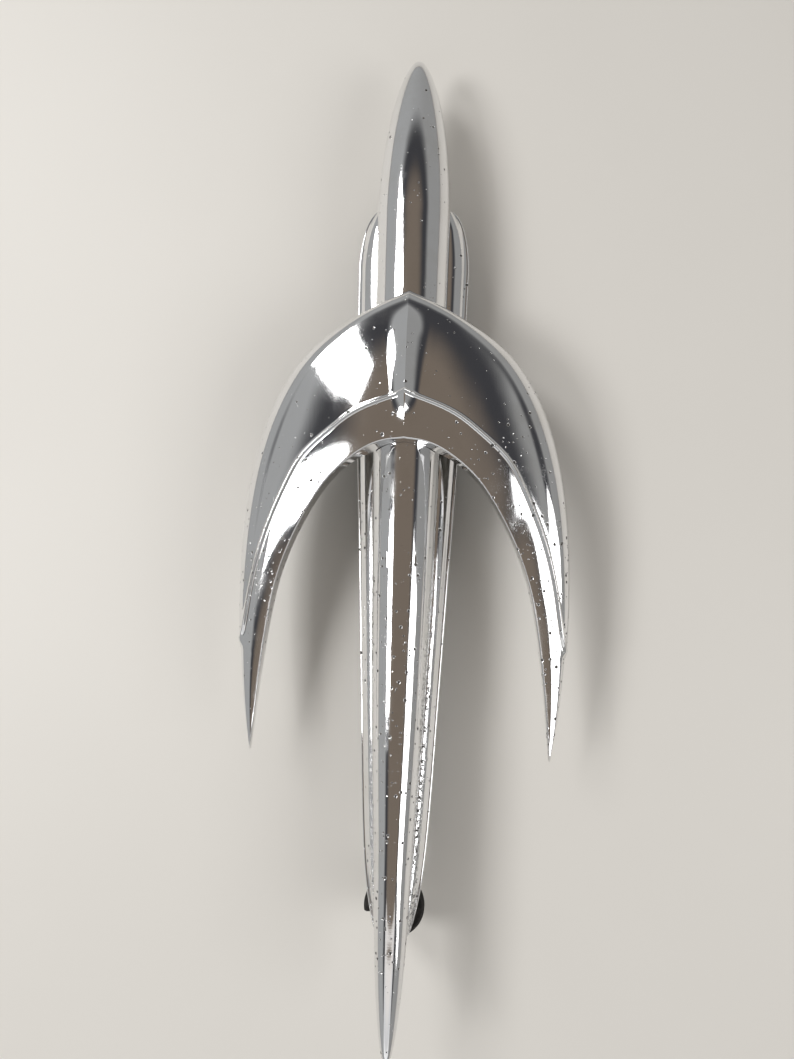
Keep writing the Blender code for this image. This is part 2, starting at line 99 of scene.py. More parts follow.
# The wing's three rails on its +X half, from the centre to the blade's tip: x, y, z
WING_RIM = (
    (0, -108.6, 14),
    (14, -101.4, 13.5),
    (29.2, -93, 12.6),
    (43.2, -82, 11.6),
    (54.4, -64.4, 10.6),
    (62.2, -40, 9.3),
    (66, -14, 7.8),
    (67, 14, 6.2),
    (66.1, 39, 4.9),
    (64.2, 60, 4.0),
    (61.4, 77.4, 3.5),
)
WING_SHOULDER = (
    (0, -102.5, 30.5),
    (15, -96, 30.3),
    (27, -87.2, 29),
    (38.6, -74.4, 26.8),
    (47.6, -56, 24),
    (54.5, -34, 21),
    (59, -8, 17.2),
    (61.7, 17, 13),
    (62.4, 41, 9.4),
    (61.8, 61, 6.8),
    (60.5, 77.7, 4.9),
)
WING_TRAIL = (
    (0, -46, 34.5),
    (11, -44.3, 33.8),
    (21.5, -38.2, 31.4),
    (30.5, -30, 28.3),
    (38.5, -18, 24.8),
    (45, -5.5, 20.8),
    (50.5, 9.5, 17),
    (54, 27, 12.8),
    (56.7, 46, 9.2),
    (58.5, 63, 6.6),
    (59.6, 77.5, 4.7),
)
WING_WALL_DEPTH = (16, 14, 9.5, 9, 8.5, 8, 7.5, 6, 4.4, 2.9, 1.4)  # height of the trailing wall
WING_LAST = len(WING_RIM) - 1
WALL_DRAFT = 0.04  # how far that wall leans, over its height
WING_THICK = 2.4
WING_HOLLOW_ENDS = 0.8  # the blades are solid beyond this share of their rails
SADDLE_GAP = 0.35  # between the wing and the body
GAP = 0.3  # between pieces that touch
STUD_Y = {"front": -112.0, "centre": 0.0, "rear": 139.0}
STUD_R = 3.175
STUD_TOP = 15.0
BOSS_R = 6.0
BOSS_FOOT = 3.0
SCREW_Y = {"front": -82.0, "rear": -57.0}
SCREW_R = 2.4
SCREW_PAD_R = 6.0
SCREW_PAD_Z = 21.0
SCREW_TIP_Z = 32.0
SCREW_HEAD = 2.8
SCREW_SLOT_HALF = 0.65  # half width of the slot in a screw's head
SCREW_SLOT_DEPTH = 1.3
SCREW_WASHER_R = 4.3
NUT_ACROSS = 11.1
NUT_BORE_R = 3.24
WASHER_HOLE_R = 3.55
FLAT_R = 9.3
LOCK_R = 6.1
RUBBER_R = 12.3
TRIM_CUTTER = 10.0  # side of the block that trims one corner off the rear rubber washer
TRIM_X = 11.6
TRIM_PAST_STUD = 7.3
GASKET_INSET = 0.8
GASKET_WIDTH = 4.0

# ---------------------------------------------------------------- sizes of the looks alone

# In mm, apart from powers, shares, slopes and one angle

KEEL_RISE = 2.75  # less than the CAD's 3.2, so that the finer ridge stays inside its box
KEEL_HALF = 9.5  # the CAD has 9.0
KEEL_NARROWS = 4.5  # how much narrower the keel's half width is at its rear end
KEEL_POWER = 1.6  # how sharp the ridge is; the CAD has 2.2
EDGE_SWELL = 0.1  # how far the flange's edge stands outside its outline, and its foot inside it
LIP_CORNER = 0.8
FLANGE_CROWN = 1.15  # bulge of the flange's top between its lip and the body; the CAD has 0.7
FLANGE_DIP = 0.32  # shallow groove just inside the lip
CORROSION_HALF = 12.4  # half width at y = 0 of the line that the corrosion follows beside the body
CORROSION_NARROWS = -0.033  # how it changes per mm of length
STEP_LINE = (  # the raised line over the wing, in plan, from the centre to the outer edge
    (0, -64),
    (18, -57.4),
    (29.5, -49.6),
    (40, -40.5),
    (46, -31),
    (53, -16),
    (57.7, -3),
    (61, 10),
    (63.2, 22),
    (65, 31),
    (69, 40),
)
BEAD_HEIGHT = 0.42
BEAD_WIDTH = 0.5
RECESS = 0.6  # how far the panel behind the raised line lies below the one before it
EDGE_R = 0.7  # rounding of the wing's trailing edge
STUD_PITCH = 1.27
STUD_THREAD = 0.72  # depth of the thread
SCREW_PITCH = 0.8
SCREW_THREAD = 0.42
# radius and height of a screw's head, from the middle of its crown to its shank's root
SCREW_CROWN = (
    (1.6, 0.0),
    (2.6, 0.06),
    (3.4, 0.24),
    (4.0, 0.55),
    (4.4, 0.98),
    (4.6, 1.5),
    (4.6, 2.7),
    (4.5, SCREW_HEAD),
    (SCREW_R, SCREW_HEAD),
)
RUBBER_RIPPLE = 0.07  # half the depth of the fine rings on a rubber washer's faces
RIPPLE_PITCH = 1.25
# inset from the rubber washer's rim, and depth below its top as a share of its thickness
RUBBER_SHOULDER = ((0.95, 0.0), (0.4, 0.16), (0.08, 0.2), (0.0, 0.27))
RUBBER_FOOT = ((0.0, 0.62), (0.12, 0.82), (0.5, 0.95), (1.0, 1.0))
RIM_GROOVE = 0.55  # depth of the groove round its rim; the CAD has 0.5
RIM_GROOVE_TOP = 0.3  # where the groove starts and how high it is, as shares of the thickness
RIM_GROOVE_SPAN = 0.24
LOCK_SPRING = 0.26  # how far the ends of a stud's split washer stand apart
SCREW_SPRING = 0.2  # the same for a wing screw's washer
SPLIT_SHARE = 0.012  # share of a turn left open on each side of a washer's split
SPLIT_ANGLE = 0.9  # where the split is, in radians from +X
NUT_BORE_CHAMFER = 0.45
NUT_CONE_SHARE = 0.96  # where the cones that trim a nut's corners meet its faces, over half its width
NUT_CONE_SLOPE = 1.75
NUT_CORNER_DEPTHS = (0.0, 0.12, 0.24, 0.36, 0.5, 0.66)  # levels from each face where they are cut
GASKET_EDGE = 0.3
GASKET_CORNER = 0.09
FLOOR_GAP = 0.1  # between the studs' ends and the floor

# ---------------------------------------------------------------- curves


def rail(points, at):
    """The point at parameter at (0 to len - 1) of a smooth curve through all the points."""
    last = len(points) - 1
    at = min(max(at, 0.0), float(last))
    i = min(int(at), last - 1)
    f = at - i
    p = [np.array(points[min(max(k, 0), last)], float) for k in range(i - 1, i + 3)]
    if i == 0:
        p[0] = 2 * p[1] - p[2]
    if i == last - 1:
        p[3] = 2 * p[2] - p[1]
    b = p[2] - p[0]
    c = 2 * p[0] - 5 * p[1] + 4 * p[2] - p[3]
    d = 3 * p[1] - 3 * p[2] + p[3] - p[0]
    return 0.5 * (2 * p[1] + b * f + c * f**2 + d * f**3)


def soft_rail(points, at, reach=0.8):
    """The same curve with its bends evened out, so that reflections run smoothly along it."""
    room = min(reach, at, len(points) - 1 - at)
    if room < 1e-6:
        return rail(points, at)
    offsets = np.linspace(-0.9, 0.9, 9)
    weights = np.cos(offsets * math.pi / 2) ** 2
    total = sum(w * rail(points, at + room * o) for w, o in zip(weights, offsets))
    return total / weights.sum()


def along(stations, y):
    """The smooth values of a table of stations at length y, without y."""
    table = np.array(stations, float)
    ys = table[:, 0]
    y = min(max(y, ys[0]), ys[-1])
    i = min(int(np.searchsorted(ys, y, side="right")) - 1, len(ys) - 2)
    h = ys[i + 1] - ys[i]
    f = (y - ys[i]) / h

    def slope(k):
        low, high = max(k - 1, 0), min(k + 1, len(ys) - 1)
        return (table[high, 1:] - table[low, 1:]) / (ys[high] - ys[low])

    m0, m1 = slope(i) * h, slope(i + 1) * h
    rise = table[i + 1, 1:] - table[i, 1:]
    return table[i, 1:] + f * (m0 + f * (3 * rise - 2 * m0 - m1 + f * (m0 + m1 - 2 * rise)))


def smoothstep(low, high, value):
    """0 below low and 1 above high, with a smooth rise between them."""
    t = np.clip((value - low) / (high - low), 0, 1)
    return t * t * (3 - 2 * t)


def lengths(low, high, count, crowd_low, crowd_high):
    """Lengths from low to high, closer together towards an end that is rounded."""
    f = np.linspace(0, 1, max(int(count * DETAIL), 6) + 1)
    if crowd_low and crowd_high:
        f = (1 - np.cos(math.pi * f)) / 2
    elif crowd_low:
        f = 1 - np.cos(math.pi / 2 * f)
    elif crowd_high:
        f = np.sin(math.pi / 2 * f)
    return list(low + (high - low) * f)


# ---------------------------------------------------------------- meshes


def link(name, mesh):
    """A new object with this mesh, in the scene."""
    obj = bpy.data.objects.new(name, mesh)
    bpy.context.scene.collection.objects.link(obj)
    return obj


def mesh_object(name, verts, faces):
    """A mesh object from points in mm, with its faces pointing out."""
    mesh = bpy.data.meshes.new(name)
    mesh.from_pydata([tuple(float(c) * MM for c in v) for v in verts], [], faces)
    bm = bmesh.new()
    bm.from_mesh(mesh)
    bmesh.ops.recalc_face_normals(bm, faces=bm.faces)
    bm.to_mesh(mesh)
    bm.free()
    return link(name, mesh)


def loft(name, rings):
    """A closed solid through rings of points in mm, each with the same count. One point is a tip."""
    verts, starts = [], []
    for ring in rings:
        starts.append(len(verts))
        verts.extend(ring)
    faces = []
    for (s, a), (t, b) in zip(zip(starts, rings), zip(starts[1:], rings[1:])):
        count = max(len(a), len(b))
        for i in range(count):
            j = (i + 1) % count
            if len(a) == 1:
                faces.append((s, t + j, t + i))
            elif len(b) == 1:
                faces.append((s + i, s + j, t))
            else:
                faces.append((s + i, s + j, t + j, t + i))
    for s, ring in ((starts[0], rings[0]), (starts[-1], rings[-1])):
        if len(ring) > 1:
            faces.append(tuple(range(s, s + len(ring))))
    return mesh_object(name, verts, faces)


def tube_loop(name, rings):
    """A closed solid through rings that come back to the first one, as round a washer."""
    count = len(rings[0])
    verts = [p for ring in rings for p in ring]
    faces = []
    for i in range(len(rings)):
        s, t = i * count, (i + 1) % len(rings) * count
        for k in range(count):
            j = (k + 1) % count
            faces.append((s + k, s + j, t + j, t + k))
    return mesh_object(name, verts, faces)


def rod(name, radius, low, high, y, sides=64):
    """An upright cylinder between two heights, in mm."""
    angles = [2 * math.pi * (i + 0.5) / sides for i in range(sides)]
    ring = [(radius * math.cos(a), y + radius * math.sin(a)) for a in angles]
    return loft(name, [[(x, yy, z) for x, yy in ring] for z in (low, high)])


def combine(obj, steps):
    """Runs Boolean steps of (operation, other object) on obj, applies them and removes the others."""
    for i, (operation, other) in enumerate(steps):
        mod = obj.modifiers.new(f"step_{i}", "BOOLEAN")
        mod.operation = operation
        mod.object = other
        mod.solver = "EXACT"
    evaluated = obj.evaluated_get(bpy.context.evaluated_depsgraph_get())
    mesh = bpy.data.meshes.new_from_object(evaluated)
    obj.modifiers.clear()
    obj.data = mesh
    for _, other in steps:
        bpy.data.objects.remove(other, do_unlink=True)
    bm = bmesh.new()
    bm.from_mesh(mesh)
    bmesh.ops.remove_doubles(bm, verts=bm.verts, dist=0.008 * MM)
    bmesh.ops.dissolve_degenerate(bm, dist=0.004 * MM, edges=bm.edges)
    bmesh.ops.delete(bm, geom=[v for v in bm.verts if not v.link_faces], context="VERTS")
    bm.to_mesh(mesh)
    bm.free()


def plated(obj, finishes):
    """Gives a casting its two finishes: all its faces have the first one, the plate."""
    for finish in finishes:
        obj.data.materials.append(finish)
    return obj


def inside(obj, finishes):
    """The same for a cutter or an inner boss, whose faces have the second one, the raw casting."""
    plated(obj, finishes)
    for face in obj.data.polygons:
        face.material_index = 1
    return obj


def fit(obj, node, body, material=None, angle=32.0):
    """Shades a piece, gives it its material, and lets it stand for a CAD node on its body."""
    if material is not None:
        obj.data.materials.append(material)
    obj.data.shade_smooth()
    obj.data.set_sharp_from_angle(angle=math.radians(angle))
    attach(obj, body)
    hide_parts(node)
    return obj


# ---------------------------------------------------------------- body casting


def end_share(t, powers):
    """The share of its section that a rounded end keeps at t, which is 0 at its base and 1 at its tip."""
    return max(1 - t ** powers[0], 0) ** powers[1]


def body_section(y):
    """Half width, widest height, top and bottom of the rocket body at y."""
    w, mid, top, bottom = along(BODY_STATIONS, y)
    s = 1.0
    if y < NOSE_BASE_Y:
        t = (NOSE_BASE_Y - y) / (NOSE_BASE_Y - NOSE_TIP_Y)
        s = end_share(t, NOSE_ROUND)
    elif y > TAIL_BASE_Y:
        past = y - TAIL_BASE_Y
        t = past / (TAIL_TIP_Y - TAIL_BASE_Y)
        s = end_share(t, TAIL_ROUND)
        w -= TAIL_TAPER * past
        mid += TAIL_RISE * past
        top += (TAIL_RISE - TAIL_TAPER) * past
        bottom += (TAIL_RISE + TAIL_TAPER) * past
    return w * s, mid, mid + (top - mid) * s, mid - (mid - bottom) * s


def body_ring(y, inset, belly_inset, sides):
    """A closed ring around the rocket body: a round back over a squarer belly."""
    w, mid, top, bottom = body_section(y)
    w, up, down = w - inset, top - mid - inset, mid - bottom - belly_inset
    ring = []
    for i in range(sides):
        a = 2 * math.pi * i / sides
        c, s = math.cos(a), math.sin(a)
        power = 2 / (BACK_POWER if s >= 0 else BELLY_POWER)
        x = math.copysign(abs(c) ** power, c) * w
        z = math.copysign(abs(s) ** power, s) * (up if s >= 0 else down)
        ring.append((x, y, mid + z))
    return ring


def rocket(name, inset, sides):
    """The whole rocket body as a solid; a negative inset swells it."""
    nose = lengths(NOSE_TIP_Y, NOSE_BASE_Y, 56, True, False)
    middle = lengths(NOSE_BASE_Y, TAIL_BASE_Y, 130, False, False)
    tail = lengths(TAIL_BASE_Y, TAIL_TIP_Y, 44, False, True)
    ys = nose[1:-1] + middle[:-1] + tail[:-1]
    rings = [body_ring(y, inset, inset, sides) for y in ys]
    tips = [[(0, y, body_section(y)[1])] for y in (NOSE_TIP_Y + inset, TAIL_TIP_Y - inset)]
    return loft(name, [tips[0], *rings, tips[1]])


def rocket_core():
    """What the casting's core leaves hollow: closed below in the nose, open down to the base's hollow."""
    nose = lengths(NOSE_TIP_Y + CORE_NOSE, NOSE_BASE_Y, 20, True, False)
    middle = lengths(NOSE_BASE_Y, CORE_REAR_Y, 40, False, False)
    rings = []
    for y in nose + middle[1:]:
        belly = WALL if y < NOSE_BASE_Y else 0.0
        rings.append(body_ring(y, WALL, belly, 56))
    return loft("body_core", rings)


def base_half(y):
    """Half width of the flange's outline at y."""
    (w,) = along(BASE_STATIONS, y)
    front = BASE_STATIONS[0][0]
    if y < front:
        t = min((front - y) / EAR_LENGTH, 1.0)
        w = BASE_FRONT_HALF + (w - BASE_FRONT_HALF) * math.sqrt(1 - t**2)
    return w


def base_lengths(fine=1.0):
    """Lengths along the flange, closer together at its rounded ends."""
    front, rear = BASE_STATIONS[0][0], BASE_STATIONS[-1][0]
    ears = lengths(BASE_FRONT_Y, front, 46 * fine, True, False)
    return ears[:-1] + lengths(front, rear, 140 * fine, False, True)


def flange():
    """The base: a rounded lip along its edge, then a crowned top that climbs to the body."""
    rings = []
    for y in base_lengths():
        w = base_half(y)
        front_round = min((y - BASE_FRONT_Y) / FRONT_ROUND, 1.0)
        rise = math.sqrt(1 - (1 - front_round) ** 2) * (1 - FRONT_SHARE) + FRONT_SHARE
        lip = BASE_Z + LIP_HEIGHT * rise
        groove = BASE_Z + GROOVE_HEIGHT * rise
        inner = min(body_section(y)[0], w - 0.8)
        width = w - inner
        corner = min(LIP_CORNER, width * 0.3)
        edge = w + EDGE_SWELL
        half = [(w - EDGE_SWELL, BASE_Z), (edge, BASE_Z + 0.35), (edge, lip - corner)]
        for i in range(1, 7):
            a = math.radians(100) * i / 6
            half.append((edge - corner * (1 - math.cos(a)), lip - corner * (1 - math.sin(a))))
        x0, z0 = half[-1]
        for i in range(1, 17):
            t = i / 16
            x = x0 + (inner - 0.6 - x0) * t
            dip = FLANGE_DIP * rise * math.exp(-(((t - 0.12) / 0.1) ** 2)) * min(width / 5, 1)
            crown = FLANGE_CROWN * rise * math.sin(math.pi * t) ** 0.9
            half.append((x, z0 + (groove - z0) * t + crown - dip))
        ring = [(x, y, z) for x, z in half]
        rings.append([*ring, *[(-x, yy, z) for x, yy, z in reversed(ring)]])
    return loft("flange", rings)


def base_hollow():
    """The open underside of the flange, inside its rim, up into the body."""
    rings = []
    front = BASE_FRONT_Y + RIM_WIDTH + 0.5
    for y in base_lengths(0.5):
        if not front < y < BASE_HOLLOW_REAR_Y:
            continue
        w = max(base_half(y) - RIM_WIDTH, 1.5)
        top = BASE_Z + LIP_HEIGHT + 0.2
        half = ((w, y, CUT_BELOW), (w, y, top - 0.4), (w - 0.4, y, top), (w - 1.6, y, top + 1.2))
        rings.append([*half, *[(-x, yy, z) for x, yy, z in reversed(half)]])
    return loft("flange_hollow", rings)


def body_piece(finishes):
    """The rocket with its flange, hollowed, with bosses for two studs and pads for the wing screws."""
    body = plated(rocket("ornament_body", 0.0, int(128 * DETAIL)), finishes)
    steps = [("DIFFERENCE", base_hollow()), ("DIFFERENCE", rocket_core())]
    for place in ("front", "centre"):
        y = STUD_Y[place]
        boss = rod(f"{place}_boss", BOSS_R, BOSS_FOOT, body_section(y)[2] - INTO_ROOF, y)
        steps.append(("UNION", boss))
    for place, y in SCREW_Y.items():
        pad = rod(f"{place}_pad", SCREW_PAD_R, SCREW_PAD_Z, body_section(y)[2] - INTO_ROOF, y)
        steps.append(("UNION", pad))
    for place, y in STUD_Y.items():
        bore = rod(f"{place}_bore", STUD_R + GAP, CUT_BELOW, STUD_TOP + GAP, y, 48)
        steps.append(("DIFFERENCE", bore))
    for place, y in SCREW_Y.items():
        steps.append(("DIFFERENCE", rod(f"{place}_hole", SCREW_R + GAP, 10, 40, y, 48)))
    for _, other in steps:
        inside(other, finishes)
    combine(body, [("UNION", plated(flange(), finishes)), *steps])
    return fit(body, "body_casting", "ornament")


# ---------------------------------------------------------------- wing casting


def keel(x, t):
    """Extra height of the sharp centre ridge, hollowed on both sides."""
    fade = np.clip((t - 0.06) / 0.2, 0, 1) * np.clip((1 - t) / 0.35, 0, 1)
    near = np.clip(1 - np.abs(x) / (KEEL_HALF - KEEL_NARROWS * t), 0, None)
    return KEEL_RISE * smoothstep(0, 1, fade) * near**KEEL_POWER


def even(points, count):
    """count points at equal spacing along a line of points."""
    run = np.concatenate([[0], np.cumsum(np.linalg.norm(np.diff(points, axis=0), axis=1))])
    at = np.linspace(0, run[-1], count)
    return np.stack([np.interp(at, run, points[:, k]) for k in range(3)], 1), run[-1]


def resampled(points, count):
    """count points along a line of points, crowded where the given ones are."""
    index = np.arange(len(points))
    at = np.linspace(0, len(points) - 1, count)
    return np.stack([np.interp(at, index, points[:, k]) for k in range(3)], 1)


def relax(points, length, reach):
    """Evens out the bends of a line over reach mm, and keeps its ends where they are."""
    count = len(points)
    step = length / (count - 1)
    out = points.copy()
    offsets = np.linspace(-1, 1, 11)
    weights = np.cos(offsets * math.pi / 2) ** 2
    index = np.arange(count, dtype=float)
    room = np.minimum(reach / step, np.minimum(index, count - 1 - index))
    for k in range(3):
        total = sum(w * np.interp(index + room * o, index, points[:, k])
                    for w, o in zip(weights, offsets))
        out[:, k] = total / weights.sum()
    return out


def rib_at(i, ribs):
    """The rails' parameter at rib i, with the ribs closer together near the keel."""
    return WING_LAST * (i / ribs) ** 1.4


def wing_crown(at):
    """How far the wing's top bulges at a rib, less towards the blade's tip."""
    return 1.6 * (1 - at / WING_LAST) + 0.3


def wing_profile(at):
    """The wing's outer surface at one rib: up the leading bevel and back over the top."""
    rim, shoulder, trail = (soft_rail(p, at) for p in (WING_RIM, WING_SHOULDER, WING_TRAIL))
    a = np.linspace(0, math.pi / 2, 60)[:, None]
    bevel = rim + (shoulder - rim) * (1 - np.cos(a))
    bevel[:, 2] = rim[2] + (shoulder[2] - rim[2]) * np.sin(a[:, 0])
    t = np.linspace(0, 1, 160)[1:]
    top = shoulder + (trail - shoulder) * t[:, None]
    top[:, 2] += wing_crown(at) * 4 * t * (1 - t) + keel(top[:, 0], t)
    points, length = even(np.concatenate([bevel, top]), 260)
    return relax(points, length, min(3.2, length * 0.12))


def step_distance(xy, line):
    """Signed distance in plan from the raised line, positive on the trailing side."""
    gaps = xy[:, None, :] - line[None, :, :]
    nearest = (gaps**2).sum(2).argmin(1)
    near = np.clip(nearest, 1, len(line) - 2)
    direction = line[near + 1] - line[near - 1]
    direction /= np.linalg.norm(direction, axis=1)[:, None]
    gap = xy - line[near]
    return direction[:, 0] * gap[:, 1] - direction[:, 1] * gap[:, 0]


def step_height(distance):
    """The raised line's bead, and the recess behind it."""
    bead = BEAD_HEIGHT * np.exp(-((distance / BEAD_WIDTH) ** 2))
    return bead - RECESS * smoothstep(0.2, 1.2, distance)


def crowded(count, centre, width, share):
    """count values from 0 to 1, crowded round centre."""
    x = np.linspace(0, 1, 400)
    density = 1 + share * np.exp(-(((x - centre) / width) ** 2))
    total = np.concatenate([[0], np.cumsum((density[1:] + density[:-1]) / 2)])
    return np.interp(np.linspace(0, 1, count), total / total[-1], x)


def wing_surface(ribs, count):
    """Rows of points on the wing's outer surface for x >= 0, with the raised line pressed in."""
    last = len(STEP_LINE) - 1
    line = np.array([soft_rail(STEP_LINE, k / 40, 0.5) for k in range(last * 40 + 1)])
    rows = []
    for i in range(ribs + 1):
        profile = wing_profile(rib_at(i, ribs))
        if i == 0:
            profile[:, 0] = 0.0
        distance = step_distance(profile[:, :2], line)
        crossed = np.nonzero(distance > 0)[0]
        centre = crossed[0] / (len(profile) - 1) if len(crossed) else 1.0
        at = crowded(count, centre, 0.035, 5.0) * (len(profile) - 1)
        index = np.arange(len(profile))
        rows.append(np.stack([np.interp(at, index, profile[:, k]) for k in range(3)], 1))
    grid = np.array(rows)
    both = np.concatenate([grid[1:2] * (-1, 1, 1), grid])
    across = np.gradient(both, axis=0)[1:]
    down = np.gradient(grid, axis=1)
    normal = np.cross(across, down)
    normal /= np.maximum(np.linalg.norm(normal, axis=2), 1e-9)[:, :, None]
    normal *= np.sign(normal[:, :, 2:3] + 1e-9)
    flat = grid.reshape(-1, 3)
    height = step_height(step_distance(flat[:, :2], line)).reshape(grid.shape[:2])
    grid = grid + normal * height[:, :, None]
    grid[0, :, 0] = 0.0
    return grid


def wing_ring(row, at):
    """Closes one row into a ring: round the trailing edge, down the wall and back below."""
    depth = rail([(d,) for d in WING_WALL_DEPTH], at)[0]
    across = row[-1] - row[0]
    across[2] = 0
    across /= np.linalg.norm(across)
    edge = row[-1]
    foot = edge + across * WALL_DRAFT * depth
    foot[2] = edge[2] - depth
    radius = min(EDGE_R, depth * 0.35)
    inward = row[-6] - edge
    inward *= radius / np.linalg.norm(inward)
    down = (foot - edge) * radius / np.linalg.norm(foot - edge)
    kept = [p for p in row if np.linalg.norm(p - edge) > radius * 1.05]
    kept = resampled(np.array([*kept, edge + inward]), len(row))
    turn = [(1 - s) ** 2 * (edge + inward) + 2 * s * (1 - s) * edge + s**2 * (edge + down)
            for s in np.linspace(0, 1, 7)[1:]]
    wall = [edge + down + (foot - edge - down) * s for s in np.linspace(0, 1, 7)[1:]]
    return np.concatenate([kept, turn, wall])


def wing_outer(name):
    """The whole wing as a solid, both halves, before it is hollowed."""
    ribs, count = int(170 * DETAIL), int(100 * DETAIL)
    grid = wing_surface(ribs, count)
    right = [wing_ring(row, rib_at(i, ribs)) for i, row in enumerate(grid)]
    left = [ring * (-1, 1, 1) for ring in right[:0:-1]]
    return loft(name, [*left, *right])


def wing_core():
    """The hollow below the wing, its thickness inside the outer surface."""
    ribs = int(70 * DETAIL)
    right = []
    for i in range(ribs + 1):
        at = WING_LAST * WING_HOLLOW_ENDS * i / ribs
        rim, shoulder, trail = (soft_rail(p, at) for p in (WING_RIM, WING_SHOULDER, WING_TRAIL))
        across = trail - rim
        across[2] = 0
        across /= np.linalg.norm(across)
        drop = np.array((0, 0, WING_THICK))
        rim = rim + across * WING_THICK
        shoulder = shoulder + across * WING_THICK * 0.6 - drop
        trail = trail - across * WING_THICK - drop
        ring = [(rim[0], rim[1], -2.0), tuple(rim)]
        for k in range(1, 12):
            a = math.pi / 2 * k / 12
            p = rim + (shoulder - rim) * (1 - math.cos(a))
            ring.append((p[0], p[1], rim[2] + (shoulder[2] - rim[2]) * math.sin(a)))
        crown = wing_crown(at)
        for k in range(25):
            t = k / 24
            p = shoulder + (trail - shoulder) * t
            ring.append((p[0], p[1], p[2] + crown * 4 * t * (1 - t)))
        ring.append((ring[-1][0], ring[-1][1], -2.0))
        ring = np.array(ring)
        if i == 0:
            ring[:, 0] = 0.0
        right.append(ring)
    left = [ring * (-1, 1, 1) for ring in right[:0:-1]]
    return loft("wing_core", [*left, *right])


def wing_piece(finishes):
    """The wing, hollowed below, with bosses for its screws and cut to sit over the body."""
    wing = plated(wing_outer("ornament_wing"), finishes)
    steps = [("DIFFERENCE", wing_core())]
    for place, y in SCREW_Y.items():
        steps.append(("UNION", rod(f"{place}_wing_boss", SCREW_PAD_R, 20, SCREW_TIP_Z + 1.4, y)))
    steps.append(("DIFFERENCE", rocket("saddle_cut", -SADDLE_GAP, int(96 * DETAIL))))
    for place, y in SCREW_Y.items():
        hole = rod(f"{place}_wing_hole", SCREW_R + GAP, 20, SCREW_TIP_Z + GAP, y, 48)
        steps.append(("DIFFERENCE", hole))
    for _, other in steps:
        inside(other, finishes)
    combine(wing, steps)
    return fit(wing, "wing_casting", "ornament")


# ---------------------------------------------------------------- hardware


def span(node):
    """Lowest and highest z of a CAD node, in mm."""
    low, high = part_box(node)
    return low.z / MM, high.z / MM


def turned(name, profile, y, sides=96):
    """A piece turned about the upright axis at y, from (radius, z) points that close on themselves."""
    rings = []
    for i in range(sides):
        a = 2 * math.pi * i / sides
        rings.append([(r * math.cos(a), y + r * math.sin(a), z) for r, z in profile])
    return tube_loop(name, rings)


def thread_rings(radius, depth, pitch, low, high, y, chamfer=0.6, sides=48):
    """Rings up a screw thread, pointed in section, with a chamfer at each end."""
    rings = []
    for z in np.linspace(low, high, int((high - low) / pitch * 10) + 1):
        ring = []
        for i in range(sides):
            turn = i / sides
            wave = abs(2 * ((z / pitch - turn) % 1.0) - 1)
            r = min(radius - depth * wave, radius - chamfer + min(z - low, high - z))
            a = 2 * math.pi * turn
            ring.append((r * math.cos(a), y + r * math.sin(a), z))
        rings.append(ring)
    return rings


def stud_piece(place, y, steel):
    """A threaded stud with chamfered ends."""
    low, high = span(f"{place}_stud")
    rings = thread_rings(STUD_R, STUD_THREAD, STUD_PITCH, low, high, y, 0.9)
    stud = loft(f"stud_{place}", rings)
    return fit(stud, f"{place}_stud", "ornament", steel, 40)


def rounded_section(inner, outer, low, high, edge, steps=4):
    """A washer's cross-section with rounded outer edges and a small chamfer in its bore."""
    section = [(inner, high - 0.12), (inner + 0.12, high)]
    for k in range(steps + 1):
        a = math.pi / 2 * k / steps
        section.append((outer - edge + edge * math.sin(a), high - edge + edge * math.cos(a)))
    for k in range(steps + 1):
        a = math.pi / 2 * k / steps
        section.append((outer - edge + edge * math.cos(a), low + edge - edge * math.sin(a)))
    return [*section, (inner + 0.12, low), (inner, low + 0.12)]


def flat_washer_piece(place, y, steel):
    low, high = span(f"{place}_flat_washer")
    washer = turned(f"washer_{place}", rounded_section(WASHER_HOLE_R, FLAT_R, low, high, 0.4), y)
    return fit(washer, f"{place}_flat_washer", "ornament", steel)


def split_washer(name, inner, outer, low, high, y, spring):
    """A spring washer, cut through and sprung, as an open helical ring."""
    section = rounded_section(inner, outer, low, high - spring, 0.16, 2)
    rings = []
    for share in np.linspace(0, 1, 91):
        turn = SPLIT_SHARE + (1 - 2 * SPLIT_SHARE) * share
        a = 2 * math.pi * turn + SPLIT_ANGLE
        lift = spring * turn
        rings.append([(r * math.cos(a), y + r * math.sin(a), z + lift) for r, z in section])
    return loft(name, rings)


def lock_washer_piece(place, y, steel):
    low, high = span(f"{place}_lock_washer")
    washer = split_washer(f"spring_{place}", WASHER_HOLE_R, LOCK_R, low, high, y, LOCK_SPRING)
    return fit(washer, f"{place}_lock_washer", "ornament", steel)


